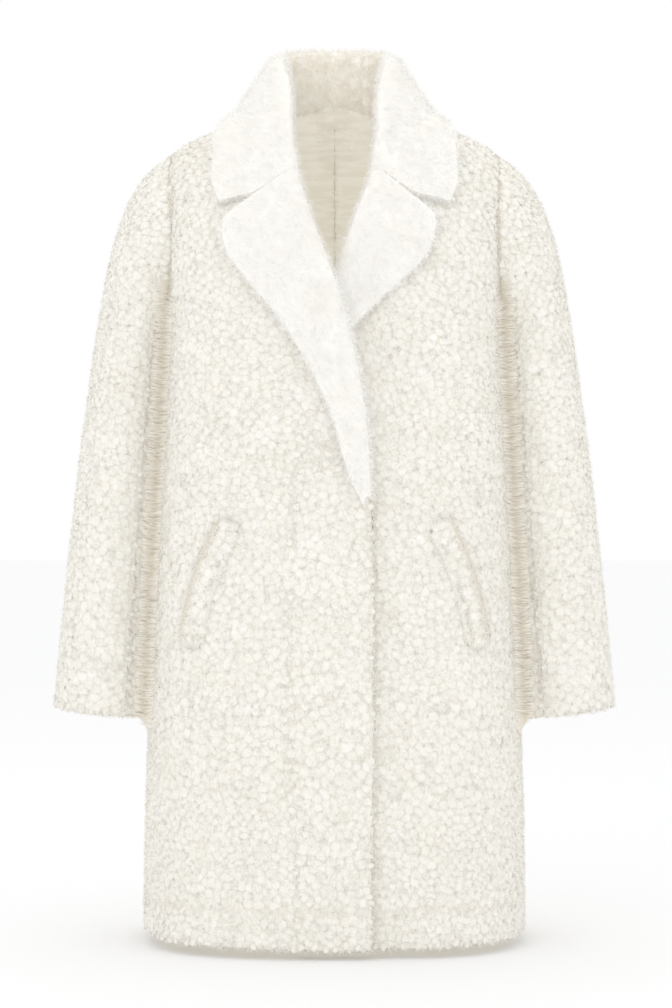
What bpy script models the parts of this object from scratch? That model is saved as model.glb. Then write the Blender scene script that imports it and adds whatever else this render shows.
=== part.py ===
"""A faux fur coat, worn-shaped and hollow, with no wearer in it.

The cloth is a bonded pile cloth: a soft knitted backing with curly pile on it, so each wall is
about a centimetre thick. The coat has two fronts that lap right over left, two backs with a
centre seam, two-piece sleeves, a turned collar, two lapels and two pocket welts.

Axes: +X is the coat's own left, -Y is its front, +Z is up. The origin is the middle of the neck.
All sizes here are in millimetres, and become metres as each mesh is made.
"""

import math
from collections import namedtuple

import bmesh
import bpy
import numpy as np
from mathutils import Vector
from mathutils.bvhtree import BVHTree

MM = 0.001
COAT = "faux_fur_coat"

# ---------------------------------------------------------------- driving sizes
WALL = 11.0  # backing and pile together, on body and sleeves
TURN_WALL = 10.0  # collar and lapels
SEAM_GAP = 0.3
ARMHOLE_GAP = 0.85
LAY_GAP = 1.0  # between one layer and the layer that lies on it
TURN_CLEAR = 1.2  # inner radius where cloth turns over on itself
TURN_RUN = 2.0  # cloth past the seam before it turns over

HEM = -903.0
SIDE_HEM_RISE = 5.0  # the hem is this much higher at the side seams
SHOULDER_TIP = -53.0
ARMPIT = -245.0
ARMHOLE_HALF_DEPTH = 78.0
YOKE_FOOT = -235.0  # above it the back's faces fan out to the armhole
GORGE = -88.0  # height at which collar and lapel meet on the fold
OVER_BREAK = -430.0  # where the lapel of the front on top ends
UNDER_BREAK = -285.0
BREAK_STEP = 7.0  # below a lapel's end the front's edge comes back to the fold over this height

WELT_WIDTH = 20.0
WELT_THICKNESS = 6.0
WELT_SEAM_THICKNESS = 2.0
WELT_TOP = (121.0, -457.0)  # across and height of its free edge's upper end
WELT_END = (160.0, -578.0)
WELT_BOW = 5.0  # how far the free edge bows away from a straight line
WELT_ACROSS = (0.0, 0.25, 0.6, 0.9, 1.0)  # columns from the free edge to the sewn one
WELT_RISE = (0.75, 1.0, 0.7, 0.2, 0.0)  # its fullness at those columns

# How many faces each stretch is divided into
ARMHOLE_STEPS = 10
SIDE_STEPS = 18
PANEL_STEPS = 14
PANEL_CROWDING = 1.3  # above 1, a front's faces are narrower towards its edge
BACK_PANEL_STEPS = 9
BACK_YOKE_STEPS = 5
ROLL_STEPS_OVER = 11
ROLL_STEPS_UNDER = 10
SLEEVE_SEAM_STEP = 7  # the sleeve's seams lie this many armhole steps from the top
TURN_STEPS = 5
WELT_STEPS = 6

# The body's outer form, ring by ring: half width, depth in front of and behind the middle, and how
# square the ring is (0 is an ellipse).
Ring = namedtuple("Ring", "height half_width front_depth back_depth squareness")
BODY = (
    Ring(-920, 207.5, 160, 152, 0.040),
    Ring(-800, 206, 159, 151, 0.045),
    Ring(-650, 201, 157, 148, 0.050),
    Ring(-500, 193.5, 154, 144, 0.060),
    Ring(-400, 187, 151, 141, 0.070),
    Ring(-300, 181, 146, 137, 0.075),
    Ring(-245, 178.5, 141, 135, 0.080),
    Ring(-200, 181, 136, 134, 0.080),
    Ring(-150, 184, 127, 130, 0.080),
    Ring(-100, 185.5, 111, 119, 0.075),
    Ring(-80, 185, 103, 112, 0.070),
    Ring(-62, 181, 95, 105, 0.060),
    Ring(-50, 169, 89, 99, 0.055),
    Ring(-43, 157, 85, 95, 0.050),
    Ring(-36, 142, 81, 91, 0.045),
    Ring(-30, 130, 77, 87, 0.040),
    Ring(-20, 104, 72, 81, 0.030),
    Ring(-10, 75, 66, 74, 0.020),
    Ring(6, 56, 60, 69, 0.020),
    Ring(16, 46, 55, 65, 0.020),
    Ring(26, 38, 50, 61, 0.020),
)

# The neckline, from the shoulder seam to the gorge in front and to the centre of the back. The
# angle goes round the body from the middle of the front, 0, by the side, 90, to the back, 180.
Neck = namedtuple("Neck", "angle height")
FRONT_NECK = (Neck(90, -10), Neck(62, -14), Neck(40, -20), Neck(28, -31), Neck(20, -46), Neck(14.8, -65))
BACK_NECK = (Neck(90, -10), Neck(108, -5.5), Neck(126, 0.5), Neck(144, 6), Neck(162, 10.5), Neck(180, 12))

# Where each front's fold, and below the lapel its edge, lies across the body. Positive is on the
# front's own side of the centre.
Fold = namedtuple("Fold", "height across")
OVER_FOLD = (
    Fold(-920, -38.5),
    Fold(-430, -38.5),
    Fold(-357, -36),
    Fold(-293, -25),
    Fold(-245, -14.5),
    Fold(-192, 2),
    Fold(-160, 14),
    Fold(-134, 24),
    Fold(-106, 32),
    Fold(-88, 37),
    Fold(-60, 41),
)
UNDER_FOLD = (
    Fold(-920, -38),
    Fold(-390, -37),
    Fold(-330, -28),
    Fold(-285, -17),
    Fold(-240, -9),
    Fold(-192, -1),
    Fold(-165, 9.5),
    Fold(-134, 21),
    Fold(-110, 30.5),
    Fold(-88, 37),
    Fold(-60, 41),
)

# The lapels' outer edges: for a height on the fold, the point on the edge that faces it.
LapelEdge = namedtuple("LapelEdge", "fold_height across height")
OVER_LAPEL = (
    LapelEdge(-430, -31, -441),
    LapelEdge(-399, -14, -405),
    LapelEdge(-337, 1, -351),
    LapelEdge(-275, 24, -298),
    LapelEdge(-212, 62, -237),
    LapelEdge(-150, 110, -177),
    LapelEdge(-119, 117, -153),
    LapelEdge(-88, 115, -136),
)
UNDER_LAPEL = (
    LapelEdge(-285, -9, -282),
    LapelEdge(-257, 5, -264),
    LapelEdge(-200, 45, -226),
    LapelEdge(-144, 97, -174),
    LapelEdge(-116, 105, -151),
    LapelEdge(-88, 105, -134),
)
LAPEL_TAPER = 60.0  # the lapel thins over this height above its lower end
LAPEL_THIN = 3.5
UNDER_LAPEL_FULL = -140.0  # the lower lapel has its full thickness from here up
NOTCH = (79.0, -114.0)  # inner end of the notch, across and height
COLLAR_CORNER = (120.0, -120.0)

# The collar, from the centre of the back to the gorge: the top of its stand, its outer edge, and
# how far it turns over, in degrees.
Stand = namedtuple("Stand", "top edge turn")
COLLAR = (
    Stand((0, 70, 64), (0, 101, -34), 180),
    Stand((19, 67, 63.5), (34, 99, -34), 178),
    Stand((34, 58, 61), (62, 91, -33), 172),
    Stand((45, 42, 56), (84, 74, -30), 164),
    Stand((52, 23, 50.5), (100, 47, -25), 156),
    Stand((55.5, 3, 44), (109, 14, -20), 150),
    Stand((54.5, -21, 35), (113, -20, -25), 150),
    Stand((51, -43, 22), (118, -44, -38), 154),
    Stand((48.5, -63, 4), (122, -62, -59), 160),
    Stand((47, -80, -19), (124, -73, -83), 168),
    Stand((46.5, -91, -48), (123.5, -81, -105), 174),
)
STAND_SHARES = (0.0, 0.33, 0.67)  # columns up the stand
STAND_LEAD = 0.25  # share of the stand's height over which it leaves the neckline squarely
FALL_LEAD = 0.45  # share of the fall's length that keeps the turn's heading
TURNED_SHARES = (0.16, 0.34, 0.52, 0.70, 0.87)  # columns of a part that is turned down
EDGE_ROUNDING = 3.5  # the last column but one lies this far from the free edge
EDGE_THICKNESS = (1.0, 1.0, 1.0, 1.0, 1.0, 0.9, 0.5)  # of the wall, at those columns

# The sleeve hangs at the side. Each station has its outer line and its inner line, which faces the
# body, the half depth from front to back, and how far its middle lies behind the body's middle.
Sleeve = namedtuple("Sleeve", "outer_x outer_z inner_x inner_z half_depth middle_y")
SLEEVE = (
    Sleeve(172, -53, 178.5, -245, 78, 0),
    Sleeve(197, -70, 180.5, -250, 78, 0),
    Sleeve(217, -94, 182, -258, 77, 0),
    Sleeve(232, -126, 183, -268, 76, 0),
    Sleeve(243.5, -164, 184, -282, 74.5, -1),
    Sleeve(252, -206, 185, -301, 73, -2),
    Sleeve(260, -256, 186.5, -332, 71, -3),
    Sleeve(268, -312, 189, -370, 69, -5),
    Sleeve(276, -372, 191.5, -415, 67, -7),
    Sleeve(283, -436, 194.5, -465, 65, -9),
    Sleeve(290, -500, 197.5, -520, 63, -11),
    Sleeve(296, -560, 200.5, -576, 61, -13),
    Sleeve(301, -614, 203, -628, 59, -15),
    Sleeve(305, -657, 204.5, -668, 58, -16),
)
SLEEVE_CLEAR = 1.2  # kept between sleeve and body
ARMHOLE_SETTLE = 2.0  # stations over which the armhole's form fades into plain rings
ARMHOLE_RIM = 1.12  # the wall's edge at the armhole, as a share of the wall
ARMHOLE_MIDDLE_X = 175.0
ARMHOLE_DRAW = 0.35  # how strongly the wall's edge leans to the armhole's middle

# Where the front on top covers the front below, the lower one sinks by a wall and a gap.
SINK_START = 8.0  # past the upper front's fold it is still fully sunk
SINK_WIDTH = 62.0
SINK_RISE = (-186.0, -104.0)  # above the crossing of the folds the sinking fades out
LAPEL_SINK_FADE = (-335.0, -292.0)

RIM_LEAN = 0.25  # of height to distance from the middle, in choosing how a rim's face is split

RIGHT, LEFT = -1, 1  # the wearer's sides, as signs of X

# Steps for slopes taken between two near places
NEAR_ANGLE = 0.2
NEAR_HEIGHT = 0.4
NEAR_STATION = 0.05
NEAR_TURN = 1.0
NEAR_EDGE = 2.0

CREAM_PILE = (0.93, 0.90, 0.82, 1.0)
CREAM_TRIM = (0.95, 0.93, 0.87, 1.0)


# ---------------------------------------------------------------- curves and the body's form
def unit(vector):
    return vector / np.linalg.norm(vector)


def smoothstep(low, high, value):
    t = min(max((value - low) / (high - low), 0.0), 1.0)
    return t * t * (3.0 - 2.0 * t)


def through(stations, values):
    """A smooth curve that passes through each value at its station; stations ascend."""
    at = np.asarray(stations, float)
    value = np.asarray(values, float).reshape(len(at), -1)
    step = np.diff(at)
    rise = np.diff(value, axis=0) / step[:, None]
    slope = np.empty_like(value)
    slope[0], slope[-1] = rise[0], rise[-1]
    near = (rise[:-1] * step[1:, None] + rise[1:] * step[:-1, None]) / (step[:-1] + step[1:])[:, None]
    slope[1:-1] = near

    def curve(station):
        i = int(min(max(np.searchsorted(at, station) - 1, 0), len(step) - 1))
        t = min(max((station - at[i]) / step[i], 0.0), 1.0)
        start = (1 + 2 * t) * (1 - t) ** 2 * value[i] + t * (1 - t) ** 2 * step[i] * slope[i]
        end = t * t * (3 - 2 * t) * value[i + 1] + t * t * (t - 1) * step[i] * slope[i + 1]
        return start + end

    return curve


body_ring = through([ring.height for ring in BODY], [ring[1:] for ring in BODY])


def form(angle, height):
    """The point of the body's outer form at an angle round it, in degrees, and a height."""
    half_width, front, back, square = body_ring(height)
    turn = math.radians(angle)
    depth = front if math.cos(turn) > 0 else back
    x = half_width * (math.sin(turn) + square * math.sin(3 * turn)) / (1 - square)
    y = -depth * (math.cos(turn) - square * math.cos(3 * turn)) / (1 - square)
    return np.array((x, y, height))


def outward(surface, angle, height):
    """The unit vector that points out of a surface."""
    across = surface(angle + NEAR_ANGLE, height) - surface(angle - NEAR_ANGLE, height)
    down = surface(angle, height - NEAR_HEIGHT) - surface(angle, height + NEAR_HEIGHT)
    return unit(np.cross(down, across))


def angle_where(measure, target, low, high):
    """The angle between low and high at which a rising measure meets its target."""
    for _ in range(40):
        middle = (low + high) / 2
        if measure(middle) < target:
            low = middle
        else:
            high = middle
    return (low + high) / 2


def angle_at_x(x, height):
    return angle_where(lambda angle: form(angle, height)[0], x, -89.9, 89.9)


def form_tree():
    """The form as a tree of faces, for keeping other pieces clear of it."""
    angles = np.arange(-180, 180, 4.0)
    heights = np.concatenate([np.arange(26, -70, -4.0), np.arange(-70, -920, -12.5)])
    points = [Vector(form(a, z)) for z in heights for a in angles]
    count = len(angles)
    faces = []
    for i in range(len(heights) - 1):
        for j in range(count):
            k = (j + 1) % count
            faces.append((i * count + j, (i + 1) * count + j, (i + 1) * count + k, i * count + k))
    return BVHTree.FromPolygons(points, faces)


def clear_of(tree, point, distance):
    """The point, moved out where it lies nearer to the tree's form than the distance."""
    nearest, normal, _, _ = tree.find_nearest(Vector(point))
    height = (Vector(point) - nearest).dot(normal)
    if height >= distance:
        return point
    return np.array(nearest + normal * distance)


# ---------------------------------------------------------------- walls
def rim_rank(point):
    """Picks the corner that splits a rim's face, so both sides of a seam split alike."""
    return point.z + RIM_LEAN * math.hypot(point.x, point.y)


def wall_object(name, outer, inner, colour, roughness):
    """A closed wall between two grids of points, as an object with its own material."""
    rows, columns = outer.shape[:2]
    work = bmesh.new()
    front = [[work.verts.new(outer[i, j] * MM) for j in range(columns)] for i in range(rows)]
    back = [[work.verts.new(inner[i, j] * MM) for j in range(columns)] for i in range(rows)]
    for i in range(rows - 1):
        for j in range(columns - 1):
            work.faces.new((front[i][j], front[i + 1][j], front[i + 1][j + 1], front[i][j + 1]))
            work.faces.new((back[i][j], back[i][j + 1], back[i + 1][j + 1], back[i + 1][j]))
    border = [(0, j) for j in range(columns)]
    border += [(i, columns - 1) for i in range(1, rows)]
    border += [(rows - 1, j) for j in range(columns - 2, -1, -1)]
    border += [(i, 0) for i in range(rows - 2, 0, -1)]
    for (i, j), (m, n) in zip(border, border[1:] + border[:1]):
        ring = (front[i][j], front[m][n], back[m][n], back[i][j])
        first = max(range(4), key=lambda k: rim_rank(ring[k].co))
        a, b, c, d = ring[first:] + ring[:first]
        work.faces.new((a, b, c))
        work.faces.new((a, c, d))
    bmesh.ops.recalc_face_normals(work, faces=work.faces)
    mesh = bpy.data.meshes.new(name)
    work.to_mesh(mesh)
    work.free()
    mesh.shade_smooth()
    mesh.set_sharp_from_angle(angle=math.radians(50))
    mesh.materials.append(cloth_material(name, colour, roughness))
    piece = bpy.data.objects.new(name, mesh)
    bpy.data.collections[COAT].objects.link(piece)
    return piece


def cloth_material(name, colour, roughness):
    material = bpy.data.materials.new(name)
    material.use_nodes = True
    shader = material.node_tree.nodes["Principled BSDF"]
    shader.inputs["Base Color"].default_value = colour
    shader.inputs["Roughness"].default_value = roughness
    shader.inputs["Metallic"].default_value = 0.0
    shader.inputs["Sheen Weight"].default_value = 0.3
    return material


def patch(left, right, shares):
    """A grid of (angle, height) places between two long edges; shares space its columns."""
    left, right = np.asarray(left, float), np.asarray(right, float)
    share = np.asarray(shares, float)[None, :, None]
    return (1 - share) * left[:, None] + share * right[:, None]


# ---------------------------------------------------------------- armholes and side seams
def armhole_place(turn):
    """Angle and height on the armhole, turning from its top, 0, by the front, 90, to the armpit."""
    bend = math.radians(turn)
    height = (SHOULDER_TIP + ARMPIT) / 2 + (SHOULDER_TIP - ARMPIT) / 2 * math.cos(bend)
    y = -ARMHOLE_HALF_DEPTH * math.sin(bend)
    if abs(y) < 1e-6:
        return 90.0, height
    if y < 0:
        return angle_where(lambda angle: form(angle, height)[1], y, 0.0, 90.0), height
    return angle_where(lambda angle: form(angle, height)[1], y, 90.0, 180.0), height


sleeve_station = through(range(len(SLEEVE)), SLEEVE)


def sleeve_ring(turn, station):
    outer_x, outer_z, inner_x, inner_z, half_depth, middle_y = sleeve_station(station)
    bend = math.radians(turn)
    middle = np.array(((outer_x + inner_x) / 2, middle_y, (outer_z + inner_z) / 2))
    reach = np.array(((outer_x - inner_x) / 2, 0.0, (outer_z - inner_z) / 2))
    return middle + reach * math.cos(bend) + np.array((0.0, -half_depth * math.sin(bend), 0.0))


def sleeve_surface(turn, station):
    """The sleeve's outer surface, which starts on the armhole and settles into plain rings."""
    blend = max(0.0, 1.0 - station / ARMHOLE_SETTLE) ** 2
    point = sleeve_ring(turn, station)
    if blend > 0:
        point = point + blend * (form(*armhole_place(turn)) - sleeve_ring(turn, 0))
    return point


def sleeve_normal(turn, station):
    low = max(station - NEAR_STATION, 0.0)
    along = sleeve_surface(turn, low + 2 * NEAR_STATION) - sleeve_surface(turn, low)
    around = sleeve_surface(turn + NEAR_TURN, station) - sleeve_surface(turn - NEAR_TURN, station)
    return unit(np.cross(around, along))


def armhole_rim(turn):
    """The way across the cloth at the armhole seam, shared by body and sleeve."""
    angle, height = armhole_place(turn)
    body_in = -outward(form, angle, height)
    sleeve_in = -sleeve_normal(turn, 0.0)
    middle = np.array((ARMHOLE_MIDDLE_X, 0.0, (SHOULDER_TIP + ARMPIT) / 2))
    to_middle = unit(middle - form(angle, height))
    return WALL * ARMHOLE_RIM * unit(body_in + sleeve_in + ARMHOLE_DRAW * to_middle)


def armhole_turns(sign):
    """The steps down an armhole: positive turns go by the front, negative ones by the back."""
    return [sign * 180.0 * i / ARMHOLE_STEPS for i in range(ARMHOLE_STEPS + 1)]


def outer_edge(sign):
    """Places down a panel's outer edge: the armhole, then the side seam."""
    edge = [armhole_place(turn) for turn in armhole_turns(sign)]
    side = np.linspace(ARMPIT, HEM + SIDE_HEM_RISE, SIDE_STEPS + 1)[1:]
    return edge + [(90.0, height) for height in side]


def panel_wall(surface, places, face, side):
    """A panel's outer and inner points; face is 1 for a front panel and -1 for a back."""
    rows, columns = places.shape[:2]
    outer = np.empty((rows, columns, 3))
    inner = np.empty((rows, columns, 3))
    for i in range(rows):
        for j in range(columns):
            angle, height = places[i, j]
            point = surface(angle, height)
            across = -WALL * outward(surface, angle, height)
            if j == columns - 1 and i <= ARMHOLE_STEPS:
                across = armhole_rim(armhole_turns(face)[i])
            outer[i, j] = point
            inner[i, j] = point + across
    for grid in (outer, inner):
        grid[: ARMHOLE_STEPS + 1, -1, 0] -= ARMHOLE_GAP / 2
        grid[ARMHOLE_STEPS:, -1, 1] -= face * SEAM_GAP / 2
        grid[0, :, 1] -= face * SEAM_GAP / 2
        grid[:, :, 0] *= side
    return outer, inner


# ---------------------------------------------------------------- fronts
over_fold = through([fold.height for fold in OVER_FOLD], [fold.across for fold in OVER_FOLD])
under_fold = through([fold.height for fold in UNDER_FOLD], [fold.across for fold in UNDER_FOLD])


def lapel_wall(break_height, height):
    """The lapel's thickness, which thins towards its lower end."""
    full = smoothstep(break_height, break_height + LAPEL_TAPER, height)
    return LAPEL_THIN + (TURN_WALL - LAPEL_THIN) * full


def under_lapel_wall(height):
    """The lower lapel thins earlier, where the other front presses on it."""
    full = smoothstep(UNDER_BREAK, UNDER_LAPEL_FULL, height)
    return LAPEL_THIN + (TURN_WALL - LAPEL_THIN) * full


def over_lapel_wall(height):
    return lapel_wall(OVER_BREAK, height)


def turn_reach(thickness):
    """How far a turned edge stands past the seam that it starts from."""
    return SEAM_GAP + TURN_RUN + thickness + TURN_CLEAR


def edge_place(edge, height):
    return angle_at_x(edge(height), height), height


def panel_edge(fold, break_height, thickness, height):
    """A front's own edge, across: behind the turned lapel above the break, on the fold below."""
    across = float(fold(height)[0])
    if height < break_height - 1e-6:
        return across
    return across + turn_reach(thickness(height))


def over_edge(height):
    return panel_edge(over_fold, OVER_BREAK, over_lapel_wall, height)


def under_edge(height):
    return panel_edge(under_fold, UNDER_BREAK, under_lapel_wall, height)


def under_surface(angle, height):
    """The lower front's outer form: the body's, sunk where the other front covers it."""
    point = form(angle, height)
    cover = -float(over_fold(height)[0]) + SINK_START
    covered = smoothstep(cover + SINK_WIDTH, cover, point[0])
    if covered == 0.0:
        return point
    below_v = smoothstep(SINK_RISE[1], SINK_RISE[0], height)
    lapel_share = below_v * smoothstep(LAPEL_SINK_FADE[0], LAPEL_SINK_FADE[1], height)
    lapel_depth = 2 * TURN_CLEAR + under_lapel_wall(height) + LAY_GAP
    sink = (WALL + LAY_GAP) * below_v + lapel_depth * lapel_share
    return point - covered * sink * outward(form, angle, height)


def neck_places(table):
    return [(neck.angle, float(neck.height)) for neck in table]


# Where a front rolls back into its lapel: the front's form, its edge, the height at which the roll
# ends, and how many faces it has down to there.
Roll = namedtuple("Roll", "surface edge break_height steps")


def roll_heights(roll):
    return list(np.linspace(GORGE, roll.break_height, roll.steps + 1))


def front_panel(name, side, roll):
    rest_steps = ARMHOLE_STEPS + SIDE_STEPS - len(FRONT_NECK) - roll.steps
    below = list(np.linspace(roll.break_height - BREAK_STEP, HEM, rest_steps))
    left = neck_places(FRONT_NECK) + [edge_place(roll.edge, z) for z in roll_heights(roll) + below]
    shares = np.linspace(0, 1, PANEL_STEPS + 1) ** PANEL_CROWDING
    outer, inner = panel_wall(roll.surface, patch(left, outer_edge(1), shares), 1, side)
    return wall_object(name, outer, inner, CREAM_PILE, 0.9)


def back_panel(name, side):
    yoke = np.linspace(BACK_NECK[-1].height, YOKE_FOOT, ARMHOLE_STEPS - BACK_YOKE_STEPS + 1)[1:]
    rest = np.linspace(YOKE_FOOT, HEM, SIDE_STEPS + 1)[1:]
    left = neck_places(BACK_NECK) + [(180.0, z) for z in list(yoke) + list(rest)]
    shares = np.linspace(0, 1, BACK_PANEL_STEPS + 1)
    outer, inner = panel_wall(form, patch(left, outer_edge(-1), shares), -1, 1)
    for grid in (outer, inner):
        grid[BACK_YOKE_STEPS:, 0, 0] = SEAM_GAP / 2  # the centre seam is a straight plane
        grid[:, :, 0] *= side
    return wall_object(name, outer, inner, CREAM_PILE, 0.9)


# ---------------------------------------------------------------- sleeves
def sleeve_pieces(side, side_name, tree):
    """The upper and the under sleeve, split at two seams near the body."""
    step = 180.0 / ARMHOLE_STEPS
    seam = SLEEVE_SEAM_STEP * step
    spans = {"upper": (-seam, seam), "under": (seam, 360.0 - seam)}
    for part, (start, end) in spans.items():
        turns = np.linspace(start, end, round((end - start) / step) + 1)
        outer = np.empty((len(SLEEVE), len(turns), 3))
        inner = np.empty_like(outer)
        for i in range(len(SLEEVE)):
            for j, turn in enumerate(turns):
                signed = turn if turn <= 180.0 else turn - 360.0
                outer[i, j] = sleeve_surface(signed, i)
                if i == 0:
                    inner[i, j] = outer[i, j] + armhole_rim(signed)
                else:
                    outer[i, j] = clear_of(tree, outer[i, j], SLEEVE_CLEAR)
                    inner[i, j] = outer[i, j] - WALL * sleeve_normal(signed, i)
        off_seams = {}
        for column, inside in ((0, 1), (-1, -2)):
            inwards = outer[:, inside] - outer[:, column]
            off_seams[column] = inwards / np.linalg.norm(inwards, axis=1)[:, None] * SEAM_GAP / 2
        for grid in (outer, inner):
            grid[0, :, 0] += ARMHOLE_GAP / 2
            for column, shift in off_seams.items():
                grid[:, column] += shift
            grid[:, :, 0] *= side
        wall_object(f"sleeve_{side_name}_{part}", outer, inner, CREAM_PILE, 0.9)


# ---------------------------------------------------------------- turned pieces: collar and lapels
def edge_frame(surface, place_before, place, place_after):
    """A panel's edge at a place: its point, its outward normal and the way off the edge."""
    normal = outward(surface, *place)
    along = unit(surface(*place_after) - surface(*place_before))
    return surface(*place), normal, unit(np.cross(along, normal))


def turn_over(start, up, out, radius, turn):
    """Points and outward directions round the turn, from the stand's top."""
    centre = start + radius * out
    points, normals = [], []
    for theta in np.radians(np.linspace(0, turn, TURN_STEPS + 1)):
        normal = -math.cos(theta) * out + math.sin(theta) * up
        points.append(centre + radius * normal)
        normals.append(normal)
    return points, normals


def edge_shares(length):
    """Where the columns of the turned-down part lie, closer together at its rounded edge."""
    return list(TURNED_SHARES) + [1.0 - EDGE_ROUNDING / length, 1.0]


def thick(points, normals, shares):
    """The two faces of a wall, from its middle surface."""
    points, normals, shares = np.array(points), np.array(normals), np.array(shares)
    offset = normals * shares[..., None] / 2
    return points + offset, points - offset


def laid_place(start, end, share, shift=0.0):
    """A place between two (across, height) places, moved square to their line."""
    start, end = np.asarray(start, float), np.asarray(end, float)
    line = unit(end - start)
    square = np.array((-line[1], line[0]))
    return start + (end - start) * share + square * shift


def laid_point(surface, place, lift):
    angle = angle_at_x(place[0], place[1])
    normal = outward(surface, angle, place[1])
    return surface(angle, place[1]) + lift * normal, normal


def lapel(name, side, roll, thickness, table):
    surface, edge = roll.surface, roll.edge
    rows = roll_heights(roll)
    facing = through([row.fold_height for row in table], [row[1:] for row in table])
    points, normals, shares = [], [], []
    for height in rows:
        wall = thickness(height)
        radius = wall / 2 + TURN_CLEAR
        place = edge_place(edge, height)
        before = edge_place(edge, height + NEAR_EDGE)
        after = place if height == rows[-1] else edge_place(edge, height - NEAR_EDGE)
        point, normal, off = edge_frame(surface, before, place, after)
        seam = point - WALL / 2 * normal + SEAM_GAP * off
        turn_start = point - wall / 2 * normal + (SEAM_GAP + TURN_RUN) * off
        line, faces = turn_over(turn_start, off, normal, radius, 180.0)
        line, faces = [seam] + line, [-normal] + faces
        lift = 2 * radius - wall / 2
        fold_place = (edge(height), height)
        outer_place = facing(height)
        length = np.linalg.norm(np.subtract(outer_place, fold_place))
        for share in edge_shares(length):
            shift = SEAM_GAP if height == rows[0] else 0.0
            laid, out = laid_point(surface, laid_place(fold_place, outer_place, share, -shift), lift)
            line.append(laid)
            faces.append(out)
        points.append(line)
        normals.append(faces)
        edge_walls = [wall * share for share in EDGE_THICKNESS]
        shares.append([WALL] + [wall] * (TURN_STEPS + 1) + edge_walls)
    outer, inner = thick(points, normals, shares)
    for grid in (outer, inner):
        grid[0, : TURN_STEPS + 2] += SEAM_GAP * unit(outer[1, 0] - outer[0, 0])
        grid[:, :, 0] *= side
    return wall_object(name, outer, inner, CREAM_TRIM, 0.85)


def neck_frames():
    """The neckline from the centre of the back to the gorge, as edge frames."""
    places = list(reversed(neck_places(BACK_NECK))) + neck_places(FRONT_NECK)[1:]
    places.append(edge_place(over_edge, GORGE))
    start = (360.0 - places[1][0], places[1][1])
    before = [start] + places[:-2] + [edge_place(over_edge, GORGE + NEAR_EDGE)]
    after = places[1:] + [edge_place(over_edge, GORGE - NEAR_EDGE)]
    return [edge_frame(form, *near) for near in zip(before, places, after)]


def collar_section(frame, stand, tree):
    """One section of the collar: up the stand, over the turn and down the fall."""
    point, normal, off = frame
    radius = TURN_WALL / 2 + TURN_CLEAR
    start = point - WALL / 2 * normal + SEAM_GAP * off
    top, edge = np.array(stand.top, float), np.array(stand.edge, float)
    lead = start + off * STAND_LEAD * np.linalg.norm(top - start)
    up = unit(top - lead)
    out = unit(normal - normal.dot(up) * up)
    aside = np.cross(out, up)
    line, faces = [], []
    for t in STAND_SHARES:
        line.append((1 - t) ** 2 * start + 2 * t * (1 - t) * lead + t * t * top)
        along = unit((1 - t) * (lead - start) + t * (top - lead))
        faces.append(unit(np.cross(aside, along)))
    over, over_faces = turn_over(top, up, out, radius, stand.turn)
    last = over[-1]
    heading = math.sin(math.radians(stand.turn)) * out + math.cos(math.radians(stand.turn)) * up
    length = np.linalg.norm(edge - last)
    control = last + heading * FALL_LEAD * length
    lift = 2 * radius - TURN_WALL / 2
    fall = []
    for t in edge_shares(length):
        bent = (1 - t) ** 2 * last + 2 * t * (1 - t) * control + t * t * edge
        fall.append(clear_of(tree, bent, lift))
    chain = [last] + fall
    fall_faces = []
    for i in range(len(fall)):
        ahead = chain[min(i + 2, len(chain) - 1)] - chain[i]
        fall_faces.append(unit(np.cross(ahead, np.cross(over_faces[-1], heading))))
    return line + over + fall, faces + over_faces + fall_faces


def gorge_section(frame, tree):
    """The collar's end: it turns over at the fold and lies on the front, down to the notch."""
    point, normal, off = frame
    radius = TURN_WALL / 2 + TURN_CLEAR
    seam = point - WALL / 2 * normal + SEAM_GAP * off
    turn_start = point - TURN_WALL / 2 * normal + (SEAM_GAP + TURN_RUN) * off
    line = [seam + (turn_start - seam) * t for t in STAND_SHARES]
    over, over_faces = turn_over(turn_start, off, normal, radius, 180.0)
    lift = 2 * radius - TURN_WALL / 2
    fold_place = (over_edge(GORGE), GORGE)
    tip = OVER_LAPEL[-1]
    length = np.linalg.norm(np.subtract((tip.across, tip.height), fold_place))
    fall, faces = [], []
    notch = np.linalg.norm(np.subtract(NOTCH, fold_place)) / length
    for share in edge_shares(length):
        place = laid_place(fold_place, (tip.across, tip.height), min(share, notch), SEAM_GAP)
        if share > notch:
            place = laid_place(place, COLLAR_CORNER, (share - notch) / (1 - notch))
        laid, out = laid_point(form, place, lift)
        fall.append(laid)
        faces.append(out)
    return line + over + fall, [-normal] * len(STAND_SHARES) + over_faces + faces


def collar(tree):
    frames = neck_frames()
    half = [collar_section(frame, stand, tree) for frame, stand in zip(frames, COLLAR)]
    half.append(gorge_section(frames[-1], tree))
    mirror = np.array((-1.0, 1.0, 1.0))
    sections = [(np.array(line) * mirror, np.array(faces) * mirror) for line, faces in half[:0:-1]]
    sections += [(np.array(line), np.array(faces)) for line, faces in half]
    points = [section[0] for section in sections]
    normals = [section[1] for section in sections]
    stand_walls = [WALL + (TURN_WALL - WALL) * t for t in STAND_SHARES]
    share = stand_walls + [TURN_WALL] * (TURN_STEPS + 1) + [TURN_WALL * part for part in EDGE_THICKNESS]
    outer, inner = thick(points, normals, [share] * len(sections))
    return wall_object("collar", outer, inner, CREAM_TRIM, 0.85)


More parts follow.
